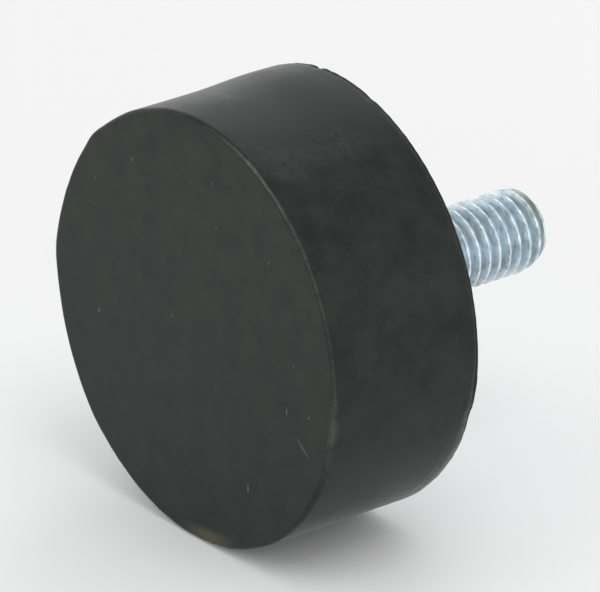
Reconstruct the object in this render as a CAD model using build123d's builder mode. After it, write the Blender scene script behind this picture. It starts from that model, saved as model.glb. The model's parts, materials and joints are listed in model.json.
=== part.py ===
# Rubber bump stop: a round rubber buffer moulded onto a steel backing plate with a threaded stud.
# The Z axis is the axis of the stop. The working face lies at Z = 0 and the stud points up.
# The plate and the stud are made first, and the rubber is then moulded round them, so that
# every piece seats face to face on its neighbour. All sizes are in millimetres.
from build123d import *
import os

# Rubber body
body_diameter = 50.0
body_height = 20.0
face_edge_radius = 0.5  # crisp moulded edge round the working face
lip_height = 0.45  # thin lip that the mould's parting line leaves at the back rim
lip_setback = 0.12  # how far that lip stands in from the side wall

# Steel backing plate, a blanked disc bonded into the back of the rubber
plate_thickness = 2.5
plate_bevel = 0.6  # on the rubber side, so that no sharp edge cuts into the rubber
rim_cover = 1.5  # rubber skin round the rim of the plate

# Stud, cold formed with a flat round head that is trapped between the plate and the rubber
stud_diameter = 10.0
stud_pitch = 1.5
stud_length = 28.0  # from the back of the plate to the tip
head_diameter = 18.0
head_height = 2.5
head_bevel = 0.6
runout_length = 1.5  # neck above the plate, where the rolled thread dies out

# Metric thread form, as shares of its pitch
root_depth_share = 0.6134  # from the crest to the root, on one side
pitch_diameter_share = 0.6495  # from the major diameter to the pitch diameter
root_depth = root_depth_share * stud_pitch
neck_diameter = stud_diameter - pitch_diameter_share * stud_pitch  # the blank before rolling

# Radii that the pieces share. The shank is a press fit, so the hole in the plate has its size.
body_radius = body_diameter / 2
lip_radius = body_radius - lip_setback
plate_radius = body_radius - rim_cover
shank_radius = stud_diameter / 2
neck_radius = neck_diameter / 2
head_radius = head_diameter / 2

# Heights that the pieces share
back_level = body_height
lip_level = back_level - lip_height
plate_level = back_level - plate_thickness  # rubber side of the plate, where the head seats
head_level = plate_level - head_height
thread_level = back_level + runout_length
neck_top_level = thread_level - (shank_radius - neck_radius)  # the thread starts on a 45 degree cone
tip_level = back_level + stud_length

os.makedirs("parts", exist_ok=True)

# Threaded stud: head, shank in the plate, neck, and the thread at its full diameter.
# The profile is half of the section, turned round the axis.
with BuildPart() as threaded_stud:
    with BuildSketch(Plane.XZ):
        with BuildLine():
            Polyline(
                (0, head_level),
                (head_radius, head_level),
                (head_radius, plate_level),
                (shank_radius, plate_level),
                (shank_radius, back_level),
                (neck_radius, back_level),
                (neck_radius, neck_top_level),
                (shank_radius, thread_level),
                (shank_radius, tip_level),
                (0, tip_level),
                close=True,
            )
        make_face()
    revolve(axis=Axis.Z)
    # The lead-in at the tip cuts down to the root of the thread.
    chamfer(threaded_stud.edges().group_by(Axis.Z)[-1], length=root_depth)
    chamfer(threaded_stud.edges().group_by(Axis.Z)[0], length=head_bevel)
threaded_stud.part.label = "threaded_stud"
export_step(threaded_stud.part, "parts/threaded_stud.step")

# Backing plate: a disc with one hole for the shank, bevelled round its rim on the rubber side.
with BuildPart() as backing_plate:
    with BuildSketch(Plane.XY.offset(plate_level)):
        Circle(plate_radius)
        Circle(shank_radius, mode=Mode.SUBTRACT)
    extrude(amount=plate_thickness)
    rubber_side_edges = backing_plate.edges().group_by(Axis.Z)[0]
    chamfer(rubber_side_edges.sort_by(SortBy.RADIUS)[-1], length=plate_bevel)
backing_plate.part.label = "backing_plate"
export_step(backing_plate.part, "parts/backing_plate.step")

# Rubber body: a solid puck whose side wall steps in to the parting lip at the back rim.
# The plate and the head of the stud leave their own undercut pocket in it.
with BuildPart() as rubber_body:
    with BuildSketch(Plane.XZ):
        with BuildLine():
            Polyline(
                (0, 0),
                (body_radius, 0),
                (body_radius, lip_level),
                (lip_radius, lip_level),
                (lip_radius, back_level),
                (0, back_level),
                close=True,
            )
        make_face()
    revolve(axis=Axis.Z)
    fillet(rubber_body.edges().group_by(Axis.Z)[0], radius=face_edge_radius)
    add(backing_plate.part, mode=Mode.SUBTRACT)
    add(threaded_stud.part, mode=Mode.SUBTRACT)
rubber_body.part.label = "rubber_body"
export_step(rubber_body.part, "parts/rubber_body.step")
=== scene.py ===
"""Looks of a rubber bump stop: a moulded rubber puck bonded to a steel plate with a rolled stud.

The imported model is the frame. Its rubber body and its stud are replaced by finer meshes of the
same size: the rubber gains its soft edges, its parting lip and its nicks, and the stud gains its
rolled thread. The steel plate keeps its own mesh and gets its finish. Lengths are in metres. +Z
runs along the axis of the stop, from the working face at Z = 0 to the tip of the stud.
"""

from __future__ import annotations

import json
import logging
import math
from collections.abc import Callable, Iterable
from dataclasses import dataclass
from enum import Enum
from functools import partial

import bpy
import numpy as np
from mathutils import Matrix, Vector

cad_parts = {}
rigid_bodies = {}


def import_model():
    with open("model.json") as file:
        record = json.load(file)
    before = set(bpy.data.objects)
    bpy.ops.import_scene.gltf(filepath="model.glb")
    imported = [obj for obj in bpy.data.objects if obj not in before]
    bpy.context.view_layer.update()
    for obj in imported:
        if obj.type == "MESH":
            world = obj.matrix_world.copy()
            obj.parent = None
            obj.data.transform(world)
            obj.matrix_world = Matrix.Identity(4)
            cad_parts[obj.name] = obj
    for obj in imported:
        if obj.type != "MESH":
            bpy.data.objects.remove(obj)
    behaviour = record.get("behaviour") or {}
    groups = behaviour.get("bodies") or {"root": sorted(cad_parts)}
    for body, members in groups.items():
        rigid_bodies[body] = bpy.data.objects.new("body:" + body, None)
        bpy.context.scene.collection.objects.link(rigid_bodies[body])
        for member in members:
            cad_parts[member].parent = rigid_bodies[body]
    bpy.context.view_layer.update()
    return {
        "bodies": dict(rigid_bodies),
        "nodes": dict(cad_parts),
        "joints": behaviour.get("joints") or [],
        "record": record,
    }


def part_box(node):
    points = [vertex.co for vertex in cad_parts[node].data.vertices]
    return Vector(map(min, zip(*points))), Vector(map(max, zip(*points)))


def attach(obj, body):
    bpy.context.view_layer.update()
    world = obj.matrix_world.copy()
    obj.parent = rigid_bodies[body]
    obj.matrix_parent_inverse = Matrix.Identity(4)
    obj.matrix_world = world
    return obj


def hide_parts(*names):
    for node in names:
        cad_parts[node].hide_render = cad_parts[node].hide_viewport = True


Array = np.ndarray
Material = bpy.types.Material
Object = bpy.types.Object
Socket = bpy.types.NodeSocket
Adder = Callable[..., Socket]
Colour = tuple[float, float, float, float]
Span = tuple[float, float]

LOG = logging.getLogger("bump_stop")
MM = 0.001
BODY = "root"


class Part(Enum):
    """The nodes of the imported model."""

    RUBBER = "rubber_body"
    PLATE = "backing_plate"
    STUD = "threaded_stud"


class Slot(Enum):
    """The record's material slots that the new pieces take their finish from."""

    RUBBER = "moulded_rubber"
    STUD = "zinc_stud"


class Rim(Enum):
    """The two outer edges of the rubber body."""

    FACE = "face"
    BACK = "back"


def linear(hex_colour: str) -> Colour:
    """Turns an sRGB hex colour into linear red, green, blue and alpha.

    Args:
        hex_colour: six hex digits after a hash sign.

    Returns:
        The linear colour with an alpha of 1.
    """
    shares = [int(hex_colour[i : i + 2], 16) / 255 for i in (1, 3, 5)]
    curve = [s / 12.92 if s <= 0.04045 else ((s + 0.055) / 1.055) ** 2.4 for s in shares]
    return (*curve, 1.0)


def grey(level: float) -> Colour:
    """Returns a linear grey of this level with an alpha of 1."""
    return (level, level, level, 1.0)


def per_size(size_mm: float) -> float:
    """Returns the texture scale whose pattern repeats about once in size_mm."""
    return 1.0 / (size_mm * MM)


def add_node(
    tree: bpy.types.NodeTree,
    kind: str,
    inputs: dict | None = None,
    out: str | None = None,
    **settings: object,
) -> Socket | None:
    """Adds one node with its settings, its input values and its links.

    A name is looked for among the sockets in use, because a node such as Mix has several of the
    same name, one for each type of data.

    Args:
        tree: the node tree that the node joins.
        kind: the node's type, without its ShaderNode prefix.
        inputs: input name or number to a value, or to the output socket that feeds it.
        out: name of the output wanted, or None for the first one in use.
        settings: the node's own properties.

    Returns:
        The output socket, or None if the node has no output.
    """
    node = tree.nodes.new("ShaderNode" + kind)
    for name, value in settings.items():
        setattr(node, name, value)
    for name, value in (inputs or {}).items():
        by_name = (s for s in node.inputs if s.enabled and s.name == name)
        socket = node.inputs[name] if isinstance(name, int) else next(by_name)
        if isinstance(value, Socket):
            tree.links.new(value, socket)
        else:
            socket.default_value = value
    return next((s for s in node.outputs if s.enabled and out in (None, s.name)), None)


def paint_over(
    add: Adder, colour: Socket | Colour, layers: Iterable[tuple[Socket, Colour]]
) -> Socket | Colour:
    """Lays colours over one another.

    Args:
        add: add_node for the tree.
        colour: the lowest colour.
        layers: from the lowest up, the share that each layer covers and its colour.

    Returns:
        The mixed colour.
    """
    for share, over in layers:
        colour = add("Mix", {"Factor": share, "A": colour, "B": over}, data_type="RGBA")
    return colour


def new_material(name: str) -> tuple[Material, Adder]:
    """Makes an empty node material.

    Args:
        name: name of the material.

    Returns:
        The material and an add_node bound to its tree.
    """
    material = bpy.data.materials.new(name)
    material.use_nodes = True
    material.node_tree.nodes.clear()
    return material, partial(add_node, material.node_tree)


def dress(piece: Object, material: Material) -> None:
    """Gives a piece this material alone."""
    piece.data.materials.clear()
    piece.data.materials.append(material)


@dataclass(frozen=True)
class Corner:
    """A corner of a turned section, with the radius of the arc that rounds it."""

    radius: float
    height: float
    rounding: float = 0.0


def turned_section(corners: list[Corner], step: float, arc_points: int) -> Array:
    """Samples a section of straight runs joined by tangent arcs.

    Each arc's centre lies on the bisector of its corner, at its radius over the sine of half the
    angle. Points on a run crowd towards both ends, by a half cosine.

    Args:
        corners: the section's corners in order, of which the first and last aren't rounded.
        step: about the widest spacing of points on a straight run.
        arc_points: points on each arc.

    Returns:
        An array of (radius, height) rows without doubles.
    """
    places = np.array([(c.radius, c.height) for c in corners])
    pieces = [places[:1]]
    for i in range(1, len(corners)):
        arc = places[i][None]
        if corners[i].rounding > 0:
            back = places[i - 1] - places[i]
            ahead = places[i + 1] - places[i]
            back /= np.linalg.norm(back)
            ahead /= np.linalg.norm(ahead)
            half = math.acos(float(back @ ahead)) / 2
            inward = (back + ahead) / np.linalg.norm(back + ahead)
            centre = places[i] + inward * corners[i].rounding / math.sin(half)
            reach = corners[i].rounding / math.tan(half)
            first = places[i] + back * reach - centre
            last = places[i] + ahead * reach - centre
            sweep = math.pi - 2 * half
            turn = np.linspace(0, sweep, arc_points)[:, None]
            arc = centre + (np.sin(sweep - turn) * first + np.sin(turn) * last) / math.sin(sweep)
        start = pieces[-1][-1]
        count = max(1, math.ceil(np.linalg.norm(arc[0] - start) / step))
        along = 0.5 - 0.5 * np.cos(np.linspace(0, math.pi, count + 1))[1:-1, None]
        pieces += [start + (arc[0] - start) * along, arc]
    return np.vstack(pieces)


def wander(angles: Array, waves: range, seed: int) -> Array:
    """Draws a smooth uneven line round a circle, mostly between -1 and 1.

    It is a sum of cosines with whole numbers of waves a turn, so it closes, each with a random
    phase and a random share.

    Args:
        angles: where the line is wanted, in radians.
        waves: the numbers of waves a turn.
        seed: seed of the random draws.

    Returns:
        One value for each angle.
    """
    draw = np.random.default_rng(seed)
    phases = draw.uniform(0, 2 * math.pi, len(waves))
    shares = draw.uniform(0.3, 1.0, len(waves))
    lines = shares * np.cos(angles[..., None] * np.array(waves) + phases)
    return lines.sum(-1) / math.sqrt((shares**2).sum())


def uneven(angles: Array, waves: range, seed: int) -> Array:
    """Returns the line that wander draws, kept between 0 and 1."""
    return 0.5 + 0.5 * np.clip(wander(angles, waves, seed), -1, 1)


def bell(distance: Array, width: float | Array) -> Array:
    """Returns a bell curve that is 1 at no distance and about a third at one width."""
    return np.exp(-((distance / width) ** 2))


def smooth_step(values: Array, start: float, end: float) -> Array:
    """Returns 0 up to start, 1 from end on, and a smooth rise between them."""
    share = np.clip((values - start) / (end - start), 0, 1)
    return share * share * (3 - 2 * share)


def turn_from(angles: Array, centre_deg: float) -> Array:
    """Returns the signed turn from centre_deg to each angle, in radians, within half a turn."""
    return (angles - math.radians(centre_deg) + math.pi) % (2 * math.pi) - math.pi


def round_axis(columns: int) -> Array:
    """Returns the angles of that many columns round the axis, in radians."""
    return np.linspace(0, 2 * math.pi, columns, endpoint=False)


def closed_turning(name: str, radii: Array, heights: Array, poles: Span) -> Object:
    """Makes a closed mesh from rings round the axis, with a fan of triangles at each pole.

    The rings run outwards from the lower pole, up the outside and back in to the upper pole, so
    every face looks outwards. Column j lies at the turn j over the number of columns.

    Args:
        name: name of the piece.
        radii: radius of each point, in rows and columns.
        heights: height of each point.
        poles: heights of the lower and the upper point on the axis.

    Returns:
        The new object, at the origin, unturned and unscaled.
    """
    rows, columns = radii.shape
    angles = round_axis(columns)
    rings = np.stack([radii * np.cos(angles), radii * np.sin(angles), heights], axis=-1)
    points = np.vstack([[[0, 0, poles[0]]], rings.reshape(-1, 3), [[0, 0, poles[1]]]])
    here = 1 + np.arange(rows * columns).reshape(rows, columns)
    beside = np.roll(here, -1, axis=1)
    quads = np.stack([here[:-1], beside[:-1], beside[1:], here[1:]], axis=-1).reshape(-1, 4)
    first = np.stack([np.zeros(columns, int), beside[0], here[0]], axis=-1)
    last = np.stack([here[-1], beside[-1], np.full(columns, len(points) - 1)], axis=-1)
    mesh = bpy.data.meshes.new(name)
    mesh.from_pydata(points.tolist(), [], [*first.tolist(), *quads.tolist(), *last.tolist()])
    mesh.polygons.foreach_set("use_smooth", np.ones(len(mesh.polygons), bool))
    piece = bpy.data.objects.new(name, mesh)
    bpy.context.scene.collection.objects.link(piece)
    return piece


def add_mask(piece: Object, name: str, values: Array) -> None:
    """Stores one number a point on a piece made by closed_turning.

    Args:
        piece: the piece.
        name: the attribute's name, which its material reads.
        values: array of rows and columns. The poles get 0.
    """
    numbers = np.concatenate([[0.0], values.ravel(), [0.0]]).astype(np.float32)
    mask = piece.data.attributes.new(name, "FLOAT", "POINT")
    mask.data.foreach_set("value", numbers)


def report(piece: Object, told: str) -> None:
    """Logs a piece's name, its number of triangles and a few words on it."""
    piece.data.calc_loop_triangles()
    LOG.info("%s: %d triangles, %s", piece.name, len(piece.data.loop_triangles), told)


@dataclass(frozen=True)
class RubMark:
    """A short pale rub on the working face, drawn as a soft ellipse.

    Its length runs turn_deg from +X towards +Y, and its strength is the share of the dust colour
    at its middle.
    """

    x_mm: float
    y_mm: float
    length_mm: float
    width_mm: float
    turn_deg: float
    strength: float


@dataclass(frozen=True)
class MouldedRubber:
    """Black natural rubber filled with carbon black, compression moulded in a steel mould.

    To the eye it is almost black and matt, with a broad soft shine where it is seen at a
    glancing angle. The black is faintly mottled with grey bloom. A thin film of dust dulls the
    working face, with sparse pale specks and short rub marks, and it thins towards the side that
    the stop lies on, which is painted shade. The edges are worn to a duller grey, in one place to
    olive. Along the back rim and on two patches of the side the same pale grey is painted sheen,
    and on one stretch of the face rim it is partly painted highlight.
    """

    black: str = "#1C2220"
    bloom: str = "#2A2F2C"
    rub_and_sheen_grey: str = "#7C807B"
    olive: str = "#5C5A45"
    film: str = "#2D302B"
    dust: str = "#8E9089"
    roughness: Span = (0.36, 0.52)
    ior: float = 1.52
    shine: float = 0.12
    sheen: float = 0.18
    sheen_roughness: float = 0.25
    bloom_mm: float = 4.0
    wave_depth_mm: float = 0.06
    grain_mm: float = 0.30  # coarser than the real skin of the mould, which is too fine to show
    grain_depth_mm: float = 0.02
    scuff_mm: float = 0.9
    dust_gap_mm: float = 3.0
    dust_radius_mm: float = 0.15
    # Where the film thins out towards the table, which paints shade on that side of the face.
    film_shade_fade_mm: Span = (-14.0, 15.0)
    lying_side: tuple[float, float, float] = (-math.sqrt(0.5), math.sqrt(0.5), 0.0)
    marks: tuple[RubMark, ...] = ()

    def material(self) -> Material:
        """Builds the material, which reads the masks edge_rub_and_sheen and olive_rub of the piece.

        Returns:
            The material.
        """
        material, add = new_material("moulded_black_rubber")
        place = add("TexCoord", out="Object")
        bloom = add(
            "TexNoise",
            {"Vector": place, "Scale": per_size(self.bloom_mm), "Detail": 8.0, "Roughness": 0.72},
        )
        spread = add("MapRange", {"Value": bloom, "From Min": 0.35, "From Max": 0.65})
        pale = [self._dust_share(add, place), *self._mark_shares(add, place)]
        layers = [
            (spread, linear(self.bloom)),
            # Dust film on the face, thinning towards the table as painted shade.
            (self._film_and_shade_share(add, place, bloom), linear(self.film)),
            *((share, linear(self.dust)) for share in pale),
            # Pale grey of worn edges, and painted sheen and painted highlight along the rims and side.
            (self._rub_and_sheen_share(add, place, "edge_rub_and_sheen"), linear(self.rub_and_sheen_grey)),
            (self._rub_and_sheen_share(add, place, "olive_rub"), linear(self.olive)),
        ]
        low, high = self.roughness
        rough = add(
            "MapRange", {"Value": bloom, "From Min": 0.3, "From Max": 0.7, "To Min": low, "To Max": high}
        )
        looks = {
            "Base Color": paint_over(add, linear(self.black), layers),
            "Roughness": rough,
            "IOR": self.ior,
            "Specular IOR Level": self.shine,
            "Sheen Weight": self.sheen,
            "Sheen Roughness": self.sheen_roughness,
            "Normal": self._grain(add, place, bloom),
        }
        add("OutputMaterial", {"Surface": add("BsdfPrincipled", looks)})
        return material

    def _film_and_shade_share(self, add: Adder, place: Socket, bloom: Socket) -> Socket:
        """Lays a patchy dust film on the working face, thinner towards the side it lies on: painted
        shade.

        Args:
            add: add_node for the tree.
            place: the coordinates on the piece.
            bloom: the noise of the bloom.

        Returns:
            The film's share of the colour, which the painted shade lowers towards the table.
        """
        height = add("SeparateXYZ", {"Vector": place}, out="Z")
        on_face = add("MapRange", {"Value": height, "From Min": 0.5 * MM, "From Max": 0.1 * MM})
        patchy = add(
            "MapRange",
            {"Value": bloom, "From Min": 0.38, "From Max": 0.62, "To Min": 0.1, "To Max": 0.75},
        )
        # Thinning the film towards the table paints shade on that side of the face.
        lower = add("VectorMath", {0: place, 1: self.lying_side}, out="Value", operation="DOT_PRODUCT")
        start, end = (level * MM for level in self.film_shade_fade_mm)
        painted_shade_fade = add(
            "MapRange",
            {"Value": lower, "From Min": start, "From Max": end, "To Min": 1.0, "To Max": 0.0},
        )
        film = add("Math", {0: on_face, 1: patchy}, operation="MULTIPLY")
        return add("Math", {0: film, 1: painted_shade_fade}, operation="MULTIPLY")

    def _dust_share(self, add: Adder, place: Socket) -> Socket:
        """Scatters round specks of dust, one where the surface passes near the point of a cell.

        Each speck fades from its middle to its rim, and its strength is its cell's random grey.

        Args:
            add: add_node for the tree.
            place: the coordinates on the piece.

        Returns:
            The specks' share of the colour.
        """
        near = add("TexVoronoi", {"Vector": place, "Scale": per_size(self.dust_gap_mm)})
        reach = self.dust_radius_mm / self.dust_gap_mm
        speck = add("MapRange", {"Value": near, "From Min": reach, "From Max": 0.3 * reach})
        strength = add(
            "MapRange",
            {"Value": near.node.outputs["Color"], "From Min": 0.35, "From Max": 0.9, "To Max": 0.6},
        )
        return add("Math", {0: speck, 1: strength}, operation="MULTIPLY")

    def _mark_shares(self, add: Adder, place: Socket) -> list[Socket]:
        """Draws each rub mark as a ball gradient stretched to the mark's length and width.

        Args:
            add: add_node for the tree.
            place: the coordinates on the piece.

        Returns:
            Each mark's share of the colour.
        """
        shares = []
        for mark in self.marks:
            ellipse = {
                "Location": (mark.x_mm * MM, mark.y_mm * MM, 0.0),
                "Rotation": (0.0, 0.0, math.radians(mark.turn_deg)),
                "Scale": (mark.length_mm * MM, mark.width_mm * MM, 0.5 * MM),
            }
            inside = add("Mapping", {"Vector": place, **ellipse}, vector_type="TEXTURE")
            soft = add("TexGradient", {"Vector": inside}, out="Fac", gradient_type="SPHERICAL")
            shares.append(add("Math", {0: soft, 1: mark.strength}, operation="MULTIPLY"))
        return shares

    def _rub_and_sheen_share(self, add: Adder, place: Socket, mask_name: str) -> Socket:
        """Breaks up a pale mask with fine noise so that it looks scuffed, for wear and painted sheen.

        Args:
            add: add_node for the tree.
            place: the coordinates on the piece.
            mask_name: the attribute that holds the mask.

        Returns:
            The share of the pale grey in the colour.
        """
        scuff = add(
            "TexNoise",
            {"Vector": place, "Scale": per_size(self.scuff_mm), "Detail": 4.0, "Roughness": 0.7},
        )
        mask = add("Attribute", out="Fac", attribute_name=mask_name)
        worn = add("Math", {0: mask, 1: scuff}, operation="MULTIPLY")
        return add("MapRange", {"Value": worn, "From Min": 0.05, "From Max": 0.6})

    def _grain(self, add: Adder, place: Socket, bloom: Socket) -> Socket:
        """Lays the fine skin of the mould over faint waves that follow the bloom.

        Args:
            add: add_node for the tree.
            place: the coordinates on the piece.
            bloom: the noise of the bloom.

        Returns:
            The bumped normal.
        """
        skin = add("TexNoise", {"Vector": place, "Scale": per_size(self.grain_mm), "Detail": 3.0})
        deep = {"Strength": 0.25, "Distance": self.grain_depth_mm * MM}
        fine = add("Bump", {"Height": skin, **deep})
        waves = {"Strength": 0.4, "Distance": self.wave_depth_mm * MM}
        return add("Bump", {"Height": bloom, "Normal": fine, **waves})


@dataclass(frozen=True)
class ZincPlatedThread:
    """Rolled steel thread, zinc plated and passivated clear to blue.

    To the eye it is a cool bluish silver. The crests carry broken bright lines of painted highlight,
    broken up in patches, the roots are painted darker and duller as painted shade, and fine
    rolling streaks run round the axis.
    """

    zinc: str = "#CBDCE7"
    # Colour of the thread's roots, which is painted shade.
    root: str = "#B0C3CF"
    streak: str = "#7F909C"
    # Colour of the painted highlight along the crests.
    crest: str = "#E8F1F5"
    straw: str = "#9CA39A"
    roughness: Span = (0.30, 0.50)
    cloud_mm: float = 3.0
    scuff_mm: float = 0.45
    scuff_depth_mm: float = 0.05
    streak_mm: float = 1.1  # along the streak, and coarser than real ones, which would not show
    streak_stretch: float = 6.0
    highlight_patch_mm: float = 1.3

    def material(self) -> Material:
        """Builds the material, which reads the masks root_shade, crest_shine and straw_tint.

        Returns:
            The material.
        """
        material, add = new_material("blue_zinc_plated_rolled_thread")
        place = add("TexCoord", out="Object")
        drawn = add("Mapping", {"Vector": place, "Scale": (1.0, 1.0, self.streak_stretch)})
        cloud, streak, worn, scuff = (
            add(
                "TexNoise",
                {"Vector": way, "Scale": per_size(size), "Detail": detail, "Roughness": rough},
            )
            for way, size, detail, rough in (
                (place, self.cloud_mm, 4.0, 0.5),
                (drawn, self.streak_mm, 4.0, 0.6),
                (place, self.highlight_patch_mm, 3.0, 0.5),
                (place, self.scuff_mm, 5.0, 0.65),
            )
        )
        root, ridge, tip = (
            add("Attribute", out="Fac", attribute_name=name)
            for name in ("root_shade", "crest_shine", "straw_tint")
        )
        cloudy = add("MapRange", {"Value": cloud, "From Min": 0.45, "From Max": 0.75, "To Max": 0.5})
        dark = add("MapRange", {"Value": streak, "From Min": 0.48, "From Max": 0.68, "To Max": 0.7})
        # Noise breaks the painted crest highlight into patches.
        bright = add("MapRange", {"Value": worn, "From Min": 0.42, "From Max": 0.56})
        tint = add("Math", {0: cloudy, 1: tip}, operation="MAXIMUM")
        crest = add("Math", {0: ridge, 1: bright}, operation="MULTIPLY")
        layers = zip(
            (root, tint, dark, crest),
            map(linear, (self.root, self.straw, self.streak, self.crest)),
        )
        low, high = self.roughness
        rough = add("MapRange", {"Value": scuff, "To Min": low, "To Max": high})
        bump = add("Bump", {"Height": scuff, "Strength": 0.5, "Distance": self.scuff_depth_mm * MM})
        colour = paint_over(add, linear(self.zinc), layers)
        looks = {"Base Color": colour, "Metallic": 1.0, "Roughness": rough, "Normal": bump}
        add("OutputMaterial", {"Surface": add("BsdfPrincipled", looks)})
        return material


@dataclass(frozen=True)
class ZincPlatedPlate:
    """Blanked steel sheet, zinc plated, flush with the rubber that is bonded round it.

    To the eye it is a satin grey silver with the faint straight lay of rolled sheet, small
    handling scuffs, and a dark smear of bonding agent that creeps in from the rubber.
    """

    zinc: str = "#B4BDC2"
    dull: str = "#949DA1"
    bond: str = "#3C3D3A"
    roughness: Span = (0.30, 0.52)
    lay_mm: float = 0.5  # coarser than the real lay, which is too fine to show
    lay_depth_mm: float = 0.01
    lay_stretch: float = 18.0
    cloud_mm: float = 7.0
    smear_mm: float = 1.6
    bond_mm: Span = (22.3, 23.6)

    def material(self) -> Material:
        """Builds the material.

        Returns:
            The material.
        """
        material, add = new_material("zinc_plated_blanked_steel")
        place = add("TexCoord", out="Object")
        drawn = add("Mapping", {"Vector": place, "Scale": (1 / self.lay_stretch, 1.0, 1.0)})
        lay, cloud, patchy = (
            add(
                "TexNoise",
                {"Vector": way, "Scale": per_size(size), "Detail": detail, "Roughness": rough},
            )
            for way, size, detail, rough in (
                (drawn, self.lay_mm, 4.0, 0.6),
                (place, self.cloud_mm, 6.0, 0.5),
                (place, self.smear_mm, 4.0, 0.5),
            )
        )
        tint = add("MapRange", {"Value": cloud, "From Min": 0.35, "From Max": 0.7})
        flat = add("VectorMath", {0: place, 1: (1.0, 1.0, 0.0)}, operation="MULTIPLY")
        radius = add("VectorMath", {0: flat}, out="Value", operation="LENGTH")
        start, end = (level * MM for level in self.bond_mm)
        creep = add("MapRange", {"Value": radius, "From Min": start, "From Max": end})
        smear = add("Math", {0: creep, 1: patchy}, operation="MULTIPLY")
        share = add("MapRange", {"Value": smear, "From Min": 0.12, "From Max": 0.4})
        layers = ((tint, linear(self.dull)), (share, linear(self.bond)))
        metal = add("MapRange", {"Value": share, "To Min": 1.0, "To Max": 0.2})
        low, high = self.roughness
        rough = add("MapRange", {"Value": lay, "To Min": low, "To Max": high})
        bump = add("Bump", {"Height": lay, "Strength": 0.25, "Distance": self.lay_depth_mm * MM})
        colour = paint_over(add, linear(self.zinc), layers)
        looks = {"Base Color": colour, "Metallic": metal, "Roughness": rough, "Normal": bump}
        add("OutputMaterial", {"Surface": add("BsdfPrincipled", looks)})
        return material


@dataclass(frozen=True)
class Nick:
    """A small loss of rubber at a rim, which takes the outline inwards by its depth.

    Its width along the rim is called before on the side of smaller angles and after on the other
    one, and it fades along the axis over its reach. Angles run from +X towards +Y.
    """

    rim: Rim
    angle_deg: float
    depth: float
    before: float
    after: float
    reach: float


@dataclass(frozen=True)
class Stretch:
    """A stretch round the axis, given by its middle, from +X towards +Y, and its half width."""

    angle_deg: float
    spread_deg: float

    def share(self, turns: Array) -> Array:
        """Returns its strength at each angle, as a bell curve."""
        return bell(turn_from(turns, self.angle_deg), math.radians(self.spread_deg))


@dataclass(frozen=True)
class Swell(Stretch):
    """A stretch of the side that stands out, where the moulding has spread.

    It begins at the height start, and from the height end on it stands out by its full depth.
    """

    start: float
    end: float
    depth: float


@dataclass(frozen=True)
class RimRubAndSheen(Stretch):
    """A pale stretch of a rim, fading over its reach across the edge: wear, painted sheen or both."""

    rim: Rim
    strength: float
    reach: float


@dataclass(frozen=True)
class SheenHaze(Stretch):
    """A pale patch of painted sheen on the side, fading over its reach above and below its height."""

    height: float
    reach: float
    strength: float


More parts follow.
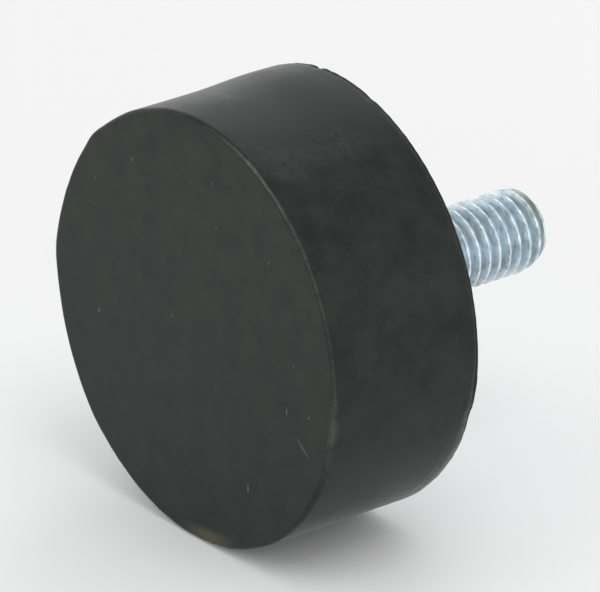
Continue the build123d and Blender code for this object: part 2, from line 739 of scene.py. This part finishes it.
@dataclass
class RubberBody:
    """The moulded rubber puck, with the pocket that the plate and the stud's head fill.

    Its section runs from the middle of the working face over the face edge, up the side, over
    the parting lip and the back rim, and down into the pocket. A thin film of rubber laps over
    the plate's edge, as it does where the mould closes on the plate.
    """

    radius: float
    height: float
    plate_radius: float
    plate_level: float
    head_radius: float
    head_level: float
    finish: MouldedRubber
    edge_radius: float = 0.5 * MM
    lip_height: float = 0.45 * MM
    lip_setback: float = 0.12 * MM
    plate_bevel: float = 0.6 * MM
    head_bevel: float = 0.6 * MM
    film_lap: float = 0.45 * MM
    film_thickness: float = 0.05 * MM
    groove_below: float = 1.85 * MM
    groove_width: float = 0.42 * MM
    groove_depth: float = 0.055 * MM
    groove: Stretch = Stretch(85.0, 24.0)
    rim_raggedness: float = 0.05 * MM
    lip_drift: float = 0.06 * MM
    lap_drift: float = 0.55  # share of the lap's width that wanders
    columns: int = 840
    nicks: tuple[Nick, ...] = (
        Nick(Rim.BACK, 309.3, 0.24 * MM, 0.3 * MM, 0.55 * MM, 0.6 * MM),
        Nick(Rim.BACK, 61.1, 0.14 * MM, 0.3 * MM, 2.5 * MM, 1.2 * MM),
        Nick(Rim.BACK, 330.0, 0.10 * MM, 0.8 * MM, 0.5 * MM, 0.6 * MM),
        Nick(Rim.FACE, 290.0, 0.20 * MM, 13.0 * MM, 10.0 * MM, 9.0 * MM),
        Nick(Rim.FACE, 249.0, 0.07 * MM, 0.5 * MM, 1.2 * MM, 1.0 * MM),
    )
    swells: tuple[Swell, ...] = (
        Swell(305.0, 30.0, 9.0 * MM, 17.0 * MM, 0.48 * MM),
        Swell(229.0, 9.0, 5.0 * MM, 0.0, 0.38 * MM),
        Swell(269.0, 4.5, 4.0 * MM, 0.0, 0.26 * MM),
        Swell(184.0, 10.0, 5.0 * MM, 0.0, 0.14 * MM),
    )
    flashes: tuple[Stretch, ...] = (Stretch(310.0, 26.0), Stretch(52.0, 9.0))
    # Pale rim bands. The face rim at 340 degrees is worn pale and partly painted highlight; the back rim
    # at 90 degrees is painted sheen.
    rim_rubs_and_sheens: tuple[RimRubAndSheen, ...] = (
        RimRubAndSheen(340.0, 15.0, Rim.FACE, 0.32, 0.13 * MM),
        RimRubAndSheen(5.0, 35.0, Rim.FACE, 0.22, 0.20 * MM),
        RimRubAndSheen(54.0, 15.0, Rim.FACE, 0.20, 0.90 * MM),
        RimRubAndSheen(90.0, 26.0, Rim.BACK, 0.75, 1.7 * MM),
    )
    rub_all_round: float = 0.07
    rub_on_step: float = 0.22
    # Patches of painted sheen on the side.
    sheen_hazes: tuple[SheenHaze, ...] = (
        SheenHaze(342.0, 10.0, 11.0 * MM, 8.0 * MM, 0.14),
        SheenHaze(343.0, 8.0, 3.0 * MM, 3.0 * MM, 0.12),
    )
    olive_patch: RimRubAndSheen = RimRubAndSheen(128.0, 9.0, Rim.FACE, 0.85, 0.8 * MM)
    olive_inside: float = 0.9 * MM

    @classmethod
    def from_frame(cls, finish: MouldedRubber) -> RubberBody:
        """Takes the body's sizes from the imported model.

        Args:
            finish: the rubber.

        Returns:
            The body, ready to build.
        """
        _, body_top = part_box(Part.RUBBER.value)
        plate_low, plate_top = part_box(Part.PLATE.value)
        stud_low, stud_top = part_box(Part.STUD.value)
        plate = {"plate_radius": plate_top.x, "plate_level": plate_low.z}
        head = {"head_radius": stud_top.x, "head_level": stud_low.z}
        return cls(radius=body_top.x, height=body_top.z, finish=finish, **plate, **head)

    @property
    def lip_level(self) -> float:
        """Height of the step below the parting lip."""
        return self.height - self.lip_height

    def section(self) -> Array:
        """Works out the section, from the lower pole to the upper one.

        Returns:
            Rows of (radius, height).
        """
        side, top, plate = self.radius, self.height, self.plate_radius
        lip, lip_level = side - self.lip_setback, self.lip_level
        film_edge, film_top = plate - self.film_lap, top + self.film_thickness
        low, head, head_level = self.plate_level, self.head_radius, self.head_level
        # Close points across the groove, so that the mesh can follow it.
        groove_levels = top - self.groove_below + np.linspace(-0.85, 0.85, 9) * MM
        corners = [
            Corner(0.0, 0.0),
            Corner(side, 0.0, self.edge_radius),
            *(Corner(side, level) for level in groove_levels),
            Corner(side, lip_level, 0.05 * MM),
            Corner(lip, lip_level, 0.03 * MM),
            Corner(lip, top, 0.08 * MM),
            Corner(plate + self.film_lap, top, 0.04 * MM),
            Corner(plate, film_top, 0.04 * MM),
            Corner(film_edge, film_top, 0.02 * MM),
            Corner(film_edge, top),
            Corner(plate, top),
            Corner(plate, low + self.plate_bevel),
            Corner(plate - self.plate_bevel, low),
            Corner(head, low),
            Corner(head, head_level + self.head_bevel),
            Corner(head - self.head_bevel, head_level),
            Corner(0.0, head_level),
        ]
        return turned_section(corners, step=1.3 * MM, arc_points=6)

    def build(self) -> Object:
        """Builds, dresses and places the body.

        Returns:
            The piece.
        """
        section = self.section()
        radii, turns = np.meshgrid(section[1:-1, 0], round_axis(self.columns), indexing="ij")
        heights = np.broadcast_to(section[1:-1, 1, None], radii.shape)
        grid = (radii, heights, turns)
        worn = (self._worn_radii(*grid), self._worn_heights(*grid))
        piece = closed_turning("moulded_rubber_body", *worn, (0.0, self.head_level))
        # Pale grey at the rims and side: wear, with painted sheen and painted highlight.
        add_mask(piece, "edge_rub_and_sheen", self._edge_rub_and_sheen(*grid))
        add_mask(piece, "olive_rub", self._olive_rub(*grid))
        dress(piece, self.finish.material())
        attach(piece, BODY)
        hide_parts(Part.RUBBER.value)
        report(piece, "closed round the axis, with nicked rims and a parting lip")
        return piece

    def _rim_height(self, rim: Rim) -> float:
        """Returns the height of a rim."""
        return 0.0 if rim is Rim.FACE else self.height

    def _outside(self, radii: Array, start: float, end: float) -> Array:
        """Returns a share that is 0 at start inside the side and 1 at end inside it."""
        return smooth_step(radii, self.radius - start, self.radius - end)

    def _worn_radii(self, radii: Array, heights: Array, turns: Array) -> Array:
        """Takes the outer surface inwards at the nicks and along the uneven rims.

        Each nick is a bell curve along the rim times one along the axis. Each swell goes
        outwards, and is a bell curve round the axis times a smooth step along it. At the flashes
        the parting lip comes out to the side. A shallow groove runs along part of the back rim.
        The lap of the film over the plate wanders as well.

        Args:
            radii: radius of each point of the plain section.
            heights: height of each point.
            turns: angle of each point.

        Returns:
            The new radii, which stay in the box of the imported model.
        """
        inset = np.zeros_like(radii)
        for nick in self.nicks:
            way = turn_from(turns, nick.angle_deg) * self.radius
            width = np.where(way < 0, nick.before, nick.after)
            along = bell(heights - self._rim_height(nick.rim), nick.reach)
            inset += nick.depth * bell(way, width) * along
        for swell in self.swells:
            inset -= swell.depth * swell.share(turns) * smooth_step(heights, swell.start, swell.end)
        back = self.rim_raggedness * uneven(turns, range(9, 120), 5)
        inset += back * bell(heights - self.height, 0.5 * MM)
        face = self.rim_raggedness * uneven(turns, range(3, 40), 8)
        inset += face * bell(heights, 0.8 * MM)
        groove = bell(heights - (self.height - self.groove_below), self.groove_width)
        inset += self.groove_depth * groove * self.groove.share(turns)
        inset *= self._outside(radii, 1.2 * MM, 0.3 * MM)
        on_lip = smooth_step(heights, self.lip_level, self.height - 0.3 * MM)
        on_lip *= self._outside(radii, 0.3 * MM, self.lip_setback)
        for flash in self.flashes:
            inset -= (self.radius - radii) * on_lip * flash.share(turns)
        lap = (heights > self.height + 0.2 * self.film_thickness) | (
            (heights > self.height - MM / 100) & (radii < self.plate_radius - MM / 100)
        )
        creep = self.lap_drift * (radii - self.plate_radius) * wander(turns, range(4, 60), 11)
        worn = radii - inset + np.where(lap & (radii < self.plate_radius), creep, 0)
        box = self.radius / np.maximum(np.abs(np.cos(turns)), np.abs(np.sin(turns)))
        return np.minimum(worn, box)

    def _worn_heights(self, radii: Array, heights: Array, turns: Array) -> Array:
        """Lets the step of the parting lip wander a little up and down along the side.

        Args:
            radii: radius of each point of the plain section.
            heights: height of each point.
            turns: angle of each point.

        Returns:
            The new heights.
        """
        drift = self.lip_drift * wander(turns, range(2, 50), 17)
        near_step = bell(heights - self.lip_level, 0.15 * MM)
        return heights + drift * near_step * self._outside(radii, 0.6 * MM, 0.3 * MM)

    def _edge_rub_and_sheen(self, radii: Array, heights: Array, turns: Array) -> Array:
        """Marks how pale each point is: worn edges, and painted sheen and highlight at rims and side.

        Args:
            radii: radius of each point of the plain section.
            heights: height of each point.
            turns: angle of each point.

        Returns:
            The mask, from 0 to 1.
        """
        rub = np.zeros_like(radii)
        for stretch in self.rim_rubs_and_sheens:
            corner = self.edge_radius * (1 - math.sqrt(0.5)) if stretch.rim is Rim.FACE else 0.0
            rim = self._rim_height(stretch.rim) + corner
            away = np.hypot(heights - rim, radii - (self.radius - corner))
            rub += stretch.strength * stretch.share(turns) * bell(away, stretch.reach)
        on_side = self._outside(radii, 0.6 * MM, 0.1 * MM)
        # Painted sheen on the side.
        for sheen_haze in self.sheen_hazes:
            along = bell(heights - sheen_haze.height, sheen_haze.reach)
            rub += sheen_haze.strength * sheen_haze.share(turns) * along * on_side
        edge = bell(np.hypot(heights, radii - self.radius), 0.3 * MM)
        step = self.rub_on_step * bell(heights - self.lip_level, 0.08 * MM)
        on_step = step * self._outside(radii, 0.1 * MM, 0.02 * MM)
        return np.clip(rub + self.rub_all_round * edge + on_step, 0, 1)

    def _olive_rub(self, radii: Array, heights: Array, turns: Array) -> Array:
        """Marks the olive patch just inside the face edge, where the stop last stood.

        Args:
            radii: radius of each point of the plain section.
            heights: height of each point.
            turns: angle of each point.

        Returns:
            The mask, from 0 to 1.
        """
        patch = self.olive_patch
        across = bell(radii - (self.radius - self.olive_inside), patch.reach)
        return patch.strength * patch.share(turns) * (across * (heights < 0.2 * MM))


@dataclass
class ThreadedStud:
    """The cold-formed stud: a flat head, a plain shank in the plate, and a rolled thread."""

    thread_radius: float
    head_radius: float
    head_level: float
    plate_level: float
    back_level: float
    tip_level: float
    finish: ZincPlatedThread
    pitch: float = 1.5 * MM
    head_bevel: float = 0.6 * MM
    crest_slack: float = 0.07 * MM
    crest_wear: float = 0.05 * MM
    runout: float = 1.9 * MM
    crest_phase: float = -0.23  # in pitches, which turns the thread as the photograph has it
    crest_share: float = 0.09
    tip_radius: float = 3.95 * MM
    short_lead_in: float = 1.3 * MM
    long_lead_in: float = 3.0 * MM
    short_side_deg: float = -70.0
    wear_shift: float = 4.1  # turn of the wear from one crest to the next, in radians
    crest_highlight_strength: float = 0.9
    straw_side: Stretch = Stretch(-5.0, 65.0)
    straw_reach: float = 4.5 * MM
    straw_strength: float = 0.9
    sharp_deg: float = 38.0
    row_step: float = 0.055 * MM
    columns: int = 168

    @classmethod
    def from_frame(cls, frame: dict, finish: ZincPlatedThread) -> ThreadedStud:
        """Takes the stud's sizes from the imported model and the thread's radius from its mount.

        Args:
            finish: the plated steel.

        Returns:
            The stud, ready to build.
        """
        stud_low, stud_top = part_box(Part.STUD.value)
        plate_low, plate_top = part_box(Part.PLATE.value)
        mount = next(m for m in frame["record"]["mounts"] if m["name"] == "stud")
        radii = {"thread_radius": mount["dims"]["r_mm"] * MM, "head_radius": stud_top.x}
        ends = {"head_level": stud_low.z, "tip_level": stud_top.z}
        plate = {"plate_level": plate_low.z, "back_level": plate_top.z}
        return cls(finish=finish, **radii, **ends, **plate)

    @property
    def root_depth(self) -> float:
        """Depth of a metric thread, as a share of its pitch."""
        return 0.6134 * self.pitch

    @property
    def neck_radius(self) -> float:
        """Radius of the blank before rolling, which is the thread's pitch radius."""
        return self.thread_radius - 0.6495 * self.pitch / 2

    def thread(self) -> tuple[Array, Array, Array]:
        """Works out the thread as a height field round the axis.

        A point's phase is its height over the pitch less its share of a turn, so the crest
        climbs to the right. Away from a crest the depth is nothing over crest_share of the
        pitch, grows along the 60 degree flank, and levels off softly at the root. At the run-out
        it fades to the blank. At the tip a rounded lead-in cuts it off, short on one side and
        long on the other, because the blank was cropped askew.

        Returns:
            Arrays of radii, heights and depth shares, each of rows and columns.
        """
        rows = round((self.tip_level - self.back_level) / self.row_step)
        levels = np.linspace(self.back_level, self.tip_level, rows)
        heights, turns = np.meshgrid(levels, round_axis(self.columns), indexing="ij")
        phase = (heights - self.tip_level) / self.pitch - turns / (2 * math.pi) - self.crest_phase
        off_crest = np.abs((phase + 0.5) % 1.0 - 0.5)
        flank = np.clip((off_crest - self.crest_share) * math.sqrt(3) * self.pitch, 0, None)
        share = 1 - np.exp(-((flank / self.root_depth) ** 3) * 1.2)
        depth = np.minimum(flank, self.root_depth * share ** (1 / 3))
        shifted = turns + self.wear_shift * heights / self.pitch
        wear = self.crest_wear * uneven(shifted, range(2, 30), 23)
        crest = self.thread_radius - self.crest_slack - wear
        rolled = smooth_step(heights, self.back_level + 0.4 * MM, self.back_level + self.runout)
        radii = self.neck_radius + (crest - depth - self.neck_radius) * rolled
        askew = 0.5 - 0.5 * np.cos(turns - math.radians(self.short_side_deg))
        lead_in = self.short_lead_in + (self.long_lead_in - self.short_lead_in) * askew**1.5
        from_tip = np.clip((self.tip_level - heights) / lead_in, 0, 1)
        cone = self.tip_radius + (crest - self.tip_radius) * (1 - (1 - from_tip) ** 1.6)
        return np.minimum(radii, cone), heights, depth / self.root_depth * rolled

    def build(self) -> Object:
        """Builds, dresses and places the stud.

        Returns:
            The piece.
        """
        shank = [
            Corner(0.0, self.head_level),
            Corner(self.head_radius - self.head_bevel, self.head_level),
            Corner(self.head_radius, self.head_level + self.head_bevel),
            Corner(self.head_radius, self.plate_level),
            Corner(self.thread_radius, self.plate_level),
            Corner(self.thread_radius, self.back_level),
            Corner(self.neck_radius, self.back_level),
        ]
        below = turned_section(shank, step=1.5 * MM, arc_points=2)[1:-1]
        radii, heights, depth = self.thread()
        across = np.ones(self.columns)
        end_radii = np.linspace(radii[-1].mean(), 0.0, 9)[1:-1]
        end = np.outer(end_radii, across)
        all_radii = np.vstack([np.outer(below[:, 0], across), radii, end])
        tip = np.full(end.shape, self.tip_level)
        all_heights = np.vstack([np.outer(below[:, 1], across), heights, tip])
        poles = (self.head_level, self.tip_level)
        piece = closed_turning("rolled_thread_stud", all_radii, all_heights, poles)
        padding = [(len(below), len(end_radii)), (0, 0)]
        # Painted shade, darker towards the roots of the thread.
        add_mask(piece, "root_shade", np.pad(smooth_step(depth, 0.15, 1.0), padding))
        # Painted highlight along the crests, broken up in the material.
        crest = 1 - smooth_step(depth, 0.08, 0.55)
        on_thread = heights > self.back_level + self.runout
        add_mask(piece, "crest_shine", np.pad(self.crest_highlight_strength * crest * on_thread, padding))
        add_mask(piece, "straw_tint", np.pad(self._straw_tint(heights), padding))
        piece.data.set_sharp_from_angle(angle=math.radians(self.sharp_deg))
        dress(piece, self.finish.material())
        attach(piece, BODY)
        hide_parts(Part.STUD.value)
        report(piece, "right-hand thread, rolled over its whole free length")
        return piece

    def _straw_tint(self, heights: Array) -> Array:
        """Marks the side of the tip where the passivation has turned to a dull straw colour."""
        near_tip = smooth_step(heights, self.tip_level - self.straw_reach, self.tip_level)
        return self.straw_strength * self.straw_side.share(round_axis(self.columns)) * near_tip


@dataclass
class BackingPlate:
    """The steel plate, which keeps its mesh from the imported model."""

    node: Object
    finish: ZincPlatedPlate

    def dress_node(self) -> None:
        """Gives the plate its finish."""
        dress(self.node, self.finish.material())
        report(self.node, "its own mesh, with a new finish")


@dataclass(frozen=True)
class PhotoPose:
    """How the photograph sees the stop, which lies on its side there.

    Up is the direction from the table to the axis of the stop, which is turned by turn_deg to
    the right of the line of sight. The camera looks down on the table by elevation_deg.
    """

    up: Vector
    turn_deg: float = 51.467
    elevation_deg: float = 22.983

    @property
    def right(self) -> Vector:
        """The level direction to the right of the picture."""
        turn = math.radians(self.turn_deg)
        axis = Vector((0, 0, 1))
        return math.sin(turn) * axis + math.cos(turn) * axis.cross(self.up)

    @property
    def ahead(self) -> Vector:
        """The level direction away from the camera."""
        return self.up.cross(self.right)

    def way(self, azimuth_deg: float, elevation_deg: float) -> Vector:
        """Returns a direction in the photograph's space.

        Args:
            azimuth_deg: 0 is away from the camera, and 90 is to the right.
            elevation_deg: height above the table.

        Returns:
            The unit vector.
        """
        azimuth, elevation = math.radians(azimuth_deg), math.radians(elevation_deg)
        level = math.cos(azimuth) * self.ahead + math.sin(azimuth) * self.right
        return math.cos(elevation) * level + math.sin(elevation) * self.up


@dataclass
class PhotoCamera:
    """The camera at the photograph's viewing angle.

    The middle of the working face lies at this distance along the line of sight, and by face_left
    and face_below to the left of that line and below it.
    """

    pose: PhotoPose
    distance: float = 545.87 * MM
    face_left: float = 11.924 * MM
    face_below: float = 3.725 * MM
    lens_mm: float = 300.0
    sensor_mm: float = 36.0

    def build(self) -> None:
        """Makes the camera and gives it to the scene."""
        forward = self.pose.way(0, -self.pose.elevation_deg)
        upward = self.pose.way(0, 90 - self.pose.elevation_deg)
        place = self.face_left * self.pose.right + self.face_below * upward - self.distance * forward
        data = bpy.data.cameras.new("photo_camera")
        data.lens = self.lens_mm
        data.sensor_width = self.sensor_mm
        data.sensor_fit = "HORIZONTAL"
        data.clip_start = 10 * MM
        data.clip_end = 100.0
        camera = bpy.data.objects.new("photo_camera", data)
        turned = Matrix((self.pose.right, upward, -forward)).transposed().to_4x4()
        camera.matrix_world = Matrix.Translation(place) @ turned
        bpy.context.scene.collection.objects.link(camera)
        bpy.context.scene.camera = camera


@dataclass(frozen=True)
class Softbox:
    """A square soft lamp that faces the stop, which lies at this distance.

    Azimuth 0 is behind the stop and 90 is to its right, and elevation is the height above the
    table. Its level is the share of full light that it adds to the table.
    """

    name: str
    azimuth_deg: float
    elevation_deg: float
    distance: float
    size: float
    level: float

    def build(self, pose: PhotoPose, target: Vector) -> None:
        """Makes the lamp.

        A lamp of radiance L lights a level table to L times its area times the sine of its
        elevation over its distance squared, and its power is pi times its area times L.

        Args:
            pose: the photograph's directions.
            target: the point that it faces.
        """
        data = bpy.data.lights.new(self.name, "AREA")
        data.size = self.size
        slant = math.sin(math.radians(self.elevation_deg))
        data.energy = self.level * (math.pi * self.distance) ** 2 / slant
        lamp = bpy.data.objects.new(self.name, data)
        way = pose.way(self.azimuth_deg, self.elevation_deg)
        turned = way.to_track_quat("Z", "Y").to_matrix().to_4x4()
        lamp.matrix_world = Matrix.Translation(target + way * self.distance) @ turned
        bpy.context.scene.collection.objects.link(lamp)


@dataclass
class Studio:
    """The white sheets, the lamps and the white room.

    The stop stands on its working face in its own frame and lies on its side in the photograph,
    so there are two sheets. The photograph's table touches the side of the stop. The other one
    lies under the working face and is seen only by cameras. Each shows only its front.
    """

    pose: PhotoPose
    stop_radius: float
    # The table's colours grade from near to right and far as painted light and shade.
    near: str = "#FBFDFC"
    near_right: str = "#F8F8F8"
    far: str = "#F3F3F3"
    stand: str = "#ECEDED"
    room_low: float = 1.52
    room_high: float = 0.60
    room_below: float = 0.82
    to_right: Span = (-25 * MM, 45 * MM)
    to_far: float = 78 * MM
    wall_to_ceiling: Span = (0.10, 0.72)
    horizon: float = 0.03
    softboxes: tuple[Softbox, ...] = (
        Softbox("back_softbox", 18.0, 42.0, 0.9, 0.5, 0.08),
        Softbox("front_softbox", 150.0, 62.0, 0.9, 0.5, 0.16),
        Softbox("left_softbox", -105.0, 35.0, 0.9, 0.5, 0.05),
    )

    def build(self) -> None:
        """Makes the sheets with their paper, the lamps and the world."""
        middle = Vector((0, 0, 10 * MM))
        gap = 0.02 * MM
        table = self._sheet("photo_table", self.pose.up, -(self.stop_radius + gap) * self.pose.up, 4.0)
        dress(table, self._table_material())
        table.visible_shadow = False
        stand = self._sheet("standing_floor", Vector((0, 0, 1)), Vector((0, 0, -gap)), 6.0)
        paper, add = new_material("white_paper_floor")
        self._one_sided(add, linear(self.stand))
        dress(stand, paper)
        stand.visible_diffuse = stand.visible_glossy = False
        stand.visible_transmission = stand.visible_shadow = False
        for softbox in self.softboxes:
            softbox.build(self.pose, middle)
        self._world()
        LOG.info("studio: 2 sheets and %d lamps", len(self.softboxes))

    @staticmethod
    def _sheet(name: str, normal: Vector, centre: Vector, half: float) -> Object:
        """Makes a square sheet in the plane through centre, with its place in its mesh.

        Args:
            name: the sheet's name.
            normal: the way that its front faces.
            centre: the middle of the sheet.
            half: half the length of a side.

        Returns:
            The sheet.
        """
        turned = normal.to_track_quat("Z", "Y").to_matrix()
        corners = ((-1, -1), (1, -1), (1, 1), (-1, 1))
        points = [centre + turned @ Vector((x * half, y * half, 0)) for x, y in corners]
        mesh = bpy.data.meshes.new(name)
        mesh.from_pydata(points, [], [(0, 1, 2, 3)])
        sheet = bpy.data.objects.new(name, mesh)
        bpy.context.scene.collection.objects.link(sheet)
        return sheet

    @staticmethod
    def _one_sided(add: Adder, colour: Socket | Colour) -> None:
        """Makes matt paper of this colour whose back can't be seen.

        Args:
            add: add_node for the tree.
            colour: colour of the paper.
        """
        paper = add("BsdfDiffuse", {"Color": colour})
        behind = add("NewGeometry", out="Backfacing")
        shader = add("MixShader", {0: behind, 1: paper, 2: add("BsdfTransparent")})
        add("OutputMaterial", {"Surface": shader})

    def _table_material(self) -> Material:
        """White paper that turns a very little greyer to the right and away from the camera, as painted
        shade.

        Returns:
            The material.
        """
        material, add = new_material("white_paper_sweep")
        place = add("TexCoord", out="Object")
        depth, aside = (
            add("VectorMath", {0: place, 1: way}, out="Value", operation="DOT_PRODUCT")
            for way in (self.pose.ahead, self.pose.right)
        )
        start, end = self.to_right
        rightwards = add(
            "MapRange",
            {"Value": aside, "From Min": start, "From Max": end},
            interpolation_type="SMOOTHSTEP",
        )
        away = add("MapRange", {"Value": depth, "From Min": 0.0, "From Max": self.to_far})
        layers = ((rightwards, linear(self.near_right)), (away, linear(self.far)))
        self._one_sided(add, paint_over(add, linear(self.near), layers))
        return material

    def _world(self) -> None:
        """Makes the room: white walls all round that are brighter than the ceiling."""
        world = bpy.data.worlds.new("white_studio")
        bpy.context.scene.world = world
        world.use_nodes = True
        world.node_tree.nodes.clear()
        add = partial(add_node, world.node_tree)
        way = add("TexCoord", out="Generated")
        height = add("VectorMath", {0: way, 1: self.pose.up}, out="Value", operation="DOT_PRODUCT")
        low, high = self.wall_to_ceiling
        rise = add(
            "MapRange",
            {"Value": height, "From Min": low, "From Max": high},
            interpolation_type="SMOOTHSTEP",
        )
        below = add("MapRange", {"Value": height, "From Min": self.horizon, "From Max": -self.horizon})
        layers = (
            (rise, grey(self.room_high)),
            (below, grey(self.room_below)),
            (add("LightPath", out="Is Camera Ray"), linear(self.far)),
        )
        seen = paint_over(add, grey(self.room_low), layers)
        add("OutputWorld", {"Surface": add("Background", {"Color": seen, "Strength": 1.0})})


FACE_MARKS = (
    RubMark(4.6, -19.2, 0.41, 0.17, -45.0, 0.37),
    RubMark(-14.3, -9.7, 0.34, 0.30, 0.0, 0.34),
    RubMark(-1.9, -2.8, 0.30, 0.22, 0.0, 0.22),
    RubMark(18.5, 1.0, 0.30, 0.17, -45.0, 0.31),
    RubMark(14.1, 11.4, 0.22, 0.19, 0.0, 0.31),
    RubMark(9.2, 14.6, 0.75, 0.15, -45.0, 0.34),
    RubMark(12.3, 16.9, 0.26, 0.21, 0.0, 0.34),
    RubMark(-3.8, 18.0, 0.75, 0.17, -45.0, 0.43),
    RubMark(8.8, 18.9, 1.80, 0.21, 83.0, 0.25),
    RubMark(-3.3, -21.1, 0.30, 0.22, 0.0, 0.22),
    RubMark(15.9, -10.2, 0.38, 0.17, -45.0, 0.25),
)


def main() -> None:
    """Loads the frame, builds the stop round it, and sets the studio and the camera."""
    logging.basicConfig(level=logging.INFO, format="%(name)s: %(message)s")
    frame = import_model()
    bpy.context.scene.view_settings.view_transform = "Standard"
    rubber = RubberBody.from_frame(MouldedRubber(marks=FACE_MARKS))
    rubber.build()
    ThreadedStud.from_frame(frame, ZincPlatedThread()).build()
    BackingPlate(frame["nodes"][Part.PLATE.value], ZincPlatedPlate()).dress_node()
    pose = PhotoPose(up=Vector((1, -1, 0)).normalized())
    Studio(pose, rubber.radius).build()
    PhotoCamera(pose).build()


if __name__ == "__main__":
    main()
